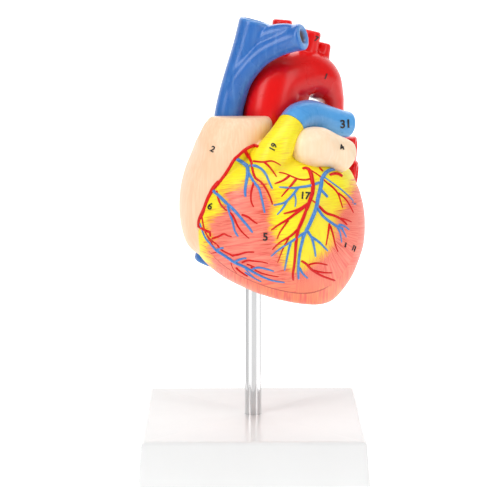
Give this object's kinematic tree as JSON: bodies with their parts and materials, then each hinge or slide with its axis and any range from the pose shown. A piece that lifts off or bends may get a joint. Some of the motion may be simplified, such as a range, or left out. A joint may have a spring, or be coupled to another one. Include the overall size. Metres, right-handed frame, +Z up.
{
  "type": "human heart anatomy model",
  "caption": "Life-size heart model with vessels, opening in a front and a rear half, on a rod that turns in a flat square base.",
  "frame": {"origin": "middle of the base's underside, at the level of the feet", "axes": "+Z up along the rod, -Y towards the viewer of the front half, +X to that viewer's right"},
  "size_m": [0.12, 0.12, 0.2382],
  "materials": {
    "base_plastic": "glossy white moulding",
    "foot_rubber": "matt grey rubber",
    "rod_chrome": "polished plating",
    "heart_paint": "hand-painted vinyl in salmon, yellow and peach, satin",
    "atrium_paint": "hand-painted vinyl in peach, satin",
    "artery_red": "glossy red paint",
    "vein_blue": "glossy blue paint",
    "trunk_yellow": "yellow paint, satin",
    "inner_muscle": "painted vinyl, satin",
    "valve_cream": "cream paint, satin",
    "bush_plastic": "pale grey moulding",
    "magnet_steel": "plated",
    "pin_plastic": "cream moulding"
  },
  "bodies": {
    "base": {"base": "base_plastic", "rubber_feet": "foot_rubber"},
    "rod": {"support_rod": "rod_chrome"},
    "rear_heart": {"rear_wall": "heart_paint", "rod_bush": "bush_plastic", "rear_magnets": "magnet_steel", "locating_pins": "pin_plastic", "superior_vena_cava": "vein_blue", "inferior_vena_cava": "vein_blue", "aorta": "artery_red", "pulmonary_arteries": "vein_blue", "left_atrium": "atrium_paint", "left_pulmonary_veins": "artery_red", "right_pulmonary_veins": "artery_red", "tricuspid_valve": "valve_cream", "right_papillary_muscles": "inner_muscle", "mitral_valve": "valve_cream", "left_papillary_muscles": "inner_muscle", "aortic_valve": "valve_cream"},
    "front_heart": {"front_wall": "heart_paint", "front_magnets": "magnet_steel", "pulmonary_trunk": "trunk_yellow", "pulmonary_valve": "valve_cream", "left_auricle": "atrium_paint"}
  },
  "joints": [
    {"name": "rod_turn", "type": "hinge", "parent": "base", "child": "rod", "pos_m": [0, 0, 0.024], "axis": [0, 0, 1], "continuous": true},
    {"name": "heart_lift", "type": "slide", "parent": "rod", "child": "rear_heart", "axis": [0, 0, 1], "range_m": [0, 0.05]},
    {"name": "front_wall_off", "type": "slide", "parent": "rear_heart", "child": "front_heart", "axis": [0, -1, 0], "range_m": [0, 0.12]}
  ]
}
